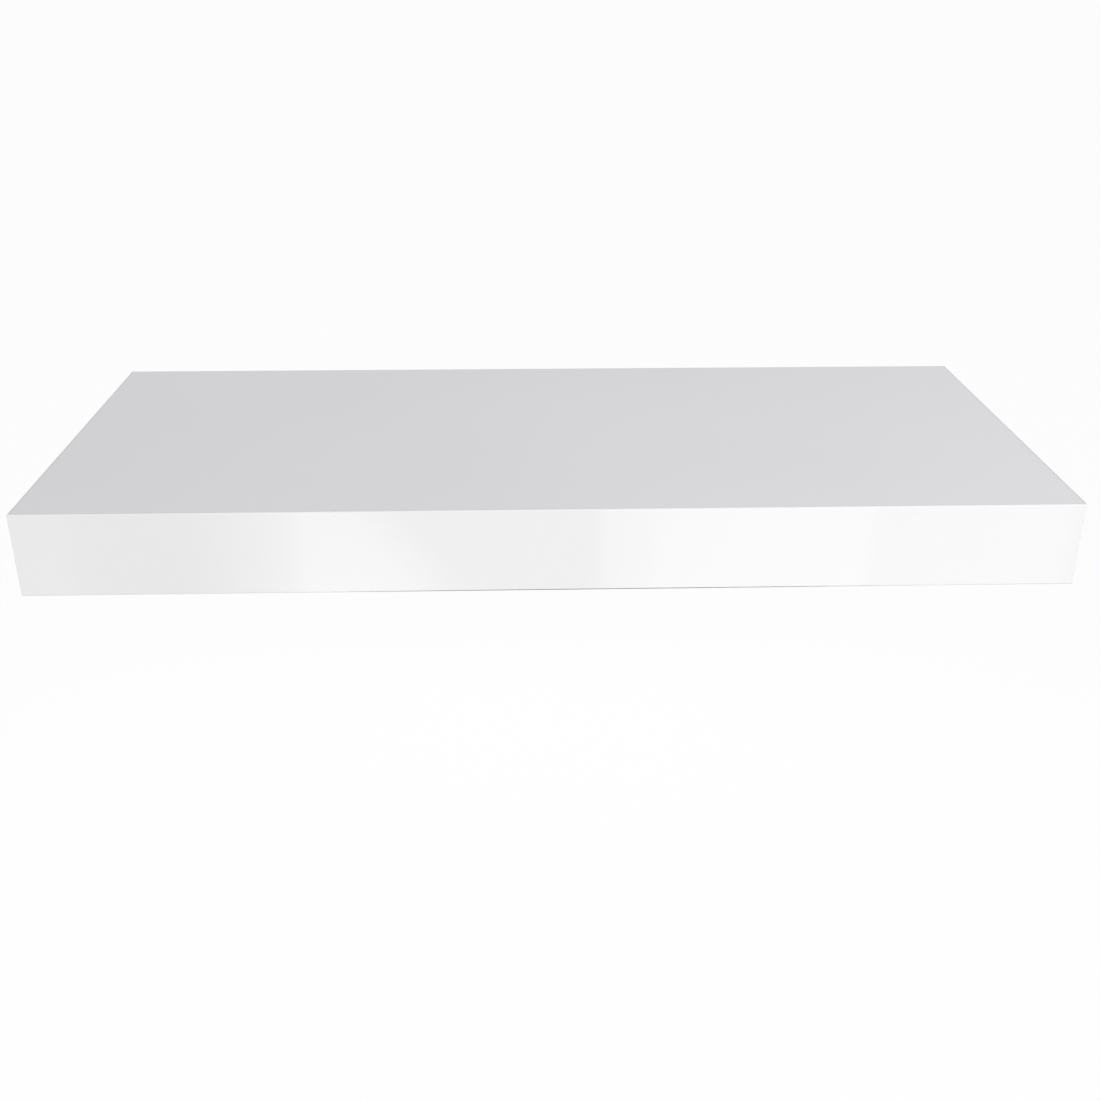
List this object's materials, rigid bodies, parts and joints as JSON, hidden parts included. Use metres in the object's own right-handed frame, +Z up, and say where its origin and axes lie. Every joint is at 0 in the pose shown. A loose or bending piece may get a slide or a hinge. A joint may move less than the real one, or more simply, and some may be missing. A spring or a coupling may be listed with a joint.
{
  "type": "floating wall shelf",
  "caption": "White high-gloss floating wall shelf: a hollow-core board that slides onto the rods of a concealed steel wall bracket and is clamped from below by lock screws.",
  "frame": {"origin": "middle of the wall bar's back face, on the wall plane, level with the middle of the board's thickness", "axes": "+X along the shelf to the right as seen from the room, +Y into the wall, +Z up; the board's front edge faces -Y"},
  "size_m": [0.6, 0.26, 0.05],
  "materials": {
    "white_gloss_panel": "gloss",
    "white_gloss_band": "gloss",
    "particleboard": "matte",
    "kraft_paper": "matte",
    "insert_brass": "satin",
    "black_oxide_steel": "satin",
    "zinc_plated_steel": "satin",
    "weld_metal": "satin"
  },
  "bodies": {
    "bracket": {"wall_bar": "zinc_plated_steel", "left_support_rod": "zinc_plated_steel", "right_support_rod": "zinc_plated_steel", "left_rod_weld": "weld_metal", "right_rod_weld": "weld_metal"},
    "shelf": {"top_panel": "white_gloss_panel", "bottom_panel": "white_gloss_panel", "front_edge_band": "white_gloss_band", "left_edge_band": "white_gloss_band", "right_edge_band": "white_gloss_band", "front_rail": "particleboard", "rear_rail": "particleboard", "left_end_rail": "particleboard", "right_end_rail": "particleboard", "left_rod_batten": "particleboard", "right_rod_batten": "particleboard", "honeycomb_left": "kraft_paper", "honeycomb_centre": "kraft_paper", "honeycomb_right": "kraft_paper", "left_lock_insert": "insert_brass", "right_lock_insert": "insert_brass"},
    "left_lock_screw": {"left_lock_screw": "black_oxide_steel"},
    "right_lock_screw": {"right_lock_screw": "black_oxide_steel"}
  },
  "joints": [
    {"name": "shelf_slide", "type": "slide", "parent": "bracket", "child": "shelf", "axis": [0, -1, 0], "range_m": [0, 0.17]},
    {"name": "left_lock_travel", "type": "slide", "parent": "shelf", "child": "left_lock_screw", "axis": [0, 0, -1], "range_m": [0, 0.0025]},
    {"name": "right_lock_travel", "type": "slide", "parent": "shelf", "child": "right_lock_screw", "axis": [0, 0, -1], "range_m": [0, 0.0025]}
  ]
}
